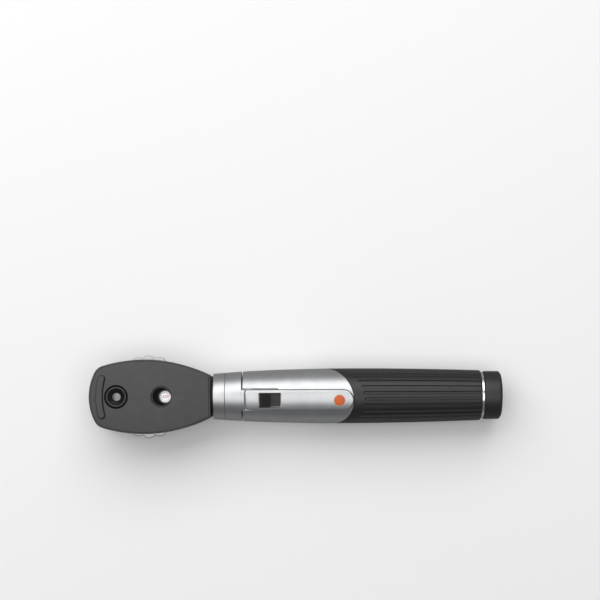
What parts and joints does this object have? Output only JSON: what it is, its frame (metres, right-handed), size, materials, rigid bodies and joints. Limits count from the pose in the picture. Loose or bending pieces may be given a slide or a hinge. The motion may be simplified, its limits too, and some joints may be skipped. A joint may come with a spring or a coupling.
{
  "type": "ophthalmoscope",
  "caption": "Hand-held direct ophthalmoscope: oval optical head with lens wheel, screwed onto a ribbed battery handle with pocket clip and slide switch.",
  "frame": {"origin": "centre of the flat end face of the battery cap", "axes": "+X points out of the cap's end face along the handle's axis, so the head is at -X; +Z is the side the examiner looks at, -Z faces the patient; Y is across the head"},
  "size_m": [0.1754, 0.0352, 0.0244],
  "materials": {
    "head_plastic": "fine matt moulded plastic, dark grey",
    "grip_plastic": "satin ribbed black plastic",
    "silver_shell": "satin silver lacquer over metal",
    "wheel_silver": "satin silver grey",
    "chrome_trim": "polished",
    "brass": "plain",
    "steel": "plain",
    "lens_glass": "clear",
    "green_glass": "green filter glass",
    "mirror_face": "front silvered",
    "disc_white": "white with printed numbers",
    "switch_black": "fine matt black",
    "badge_orange": "plain orange enamel",
    "cell_jacket": "plain printed film"
  },
  "bodies": {
    "head": {"head_rear_shell": "head_plastic", "head_front_shell": "head_plastic", "brow_rest": "head_plastic", "eyepiece_ring": "head_plastic", "window_bezel": "head_plastic", "window_lens": "lens_glass", "patient_window": "lens_glass", "mirror": "mirror_face", "optics_frame": "switch_black", "condenser_lens": "lens_glass", "projection_lens": "lens_glass", "lamp_sleeve": "brass", "lamp_bulb": "lens_glass", "head_base": "switch_black", "head_collar": "silver_shell", "wheel_axle": "steel", "wheel_axle_clip": "steel", "detent_ball": "steel", "detent_spring": "steel", "aperture_axle": "steel", "head_screw_1": "steel", "head_screw_2": "steel", "head_screw_3": "steel"},
    "lens_wheel": {"lens_wheel": "wheel_silver", "lens_ring": "lens_glass", "number_disc": "disc_white"},
    "aperture_wheel": {"aperture_wheel": "switch_black", "red_free_filter": "green_glass"},
    "cell_stack": {"contact_pin": "brass", "battery_front": "cell_jacket", "battery_rear": "cell_jacket"},
    "handle": {"clip_ring": "silver_shell", "upper_shell": "silver_shell", "grip_shell": "grip_plastic", "battery_tube": "brass", "contact_insulator": "switch_black", "chrome_ring": "chrome_trim", "switch_frame": "switch_black", "switch_contact": "brass", "clip_pin": "steel", "clip_spring": "steel"},
    "clip": {"pocket_clip": "silver_shell", "badge": "badge_orange"},
    "switch": {"switch_slider": "switch_black"},
    "cap_spring": {"battery_spring": "steel", "spring_seat": "brass"},
    "cap": {"end_cap": "grip_plastic"}
  },
  "joints": [
    {"name": "cell_stack_travel", "type": "slide", "parent": "handle", "child": "cell_stack", "axis": [-1, 0, 0], "range_m": [0, 0.003]},
    {"name": "head_turn", "type": "hinge", "parent": "cell_stack", "child": "head", "pos_m": [-0.1184, 0, 0], "axis": [-1, 0, 0], "range_deg": [0, 720]},
    {"name": "lens_wheel_spin", "type": "hinge", "parent": "head", "child": "lens_wheel", "pos_m": [-0.1502, 0, 0.0063], "axis": [0, 0, 1], "continuous": true},
    {"name": "aperture_wheel_spin", "type": "hinge", "parent": "head", "child": "aperture_wheel", "pos_m": [-0.1405, 0, -0.0052], "axis": [1, 0, 0], "continuous": true},
    {"name": "clip_flex", "type": "hinge", "parent": "handle", "child": "clip", "pos_m": [-0.1078, -0.00154, 0.00973], "axis": [0, -0.9877, -0.1564], "range_deg": [0, 6]},
    {"name": "switch_slide", "type": "slide", "parent": "handle", "child": "switch", "axis": [1, 0, 0], "range_m": [0, 0.0042]},
    {"name": "cap_travel", "type": "slide", "parent": "handle", "child": "cap_spring", "axis": [1, 0, 0], "range_m": [0, 0.006]},
    {"name": "cap_turn", "type": "hinge", "parent": "cap_spring", "child": "cap", "pos_m": [-0.004, 0, 0], "axis": [1, 0, 0], "range_deg": [0, 1440]}
  ],
  "couplings": [
    {"joint": "head_turn", "follows": "cell_stack_travel", "rad_per_m": 4188.8},
    {"joint": "cap_turn", "follows": "cap_travel", "rad_per_m": 4188.8}
  ]
}
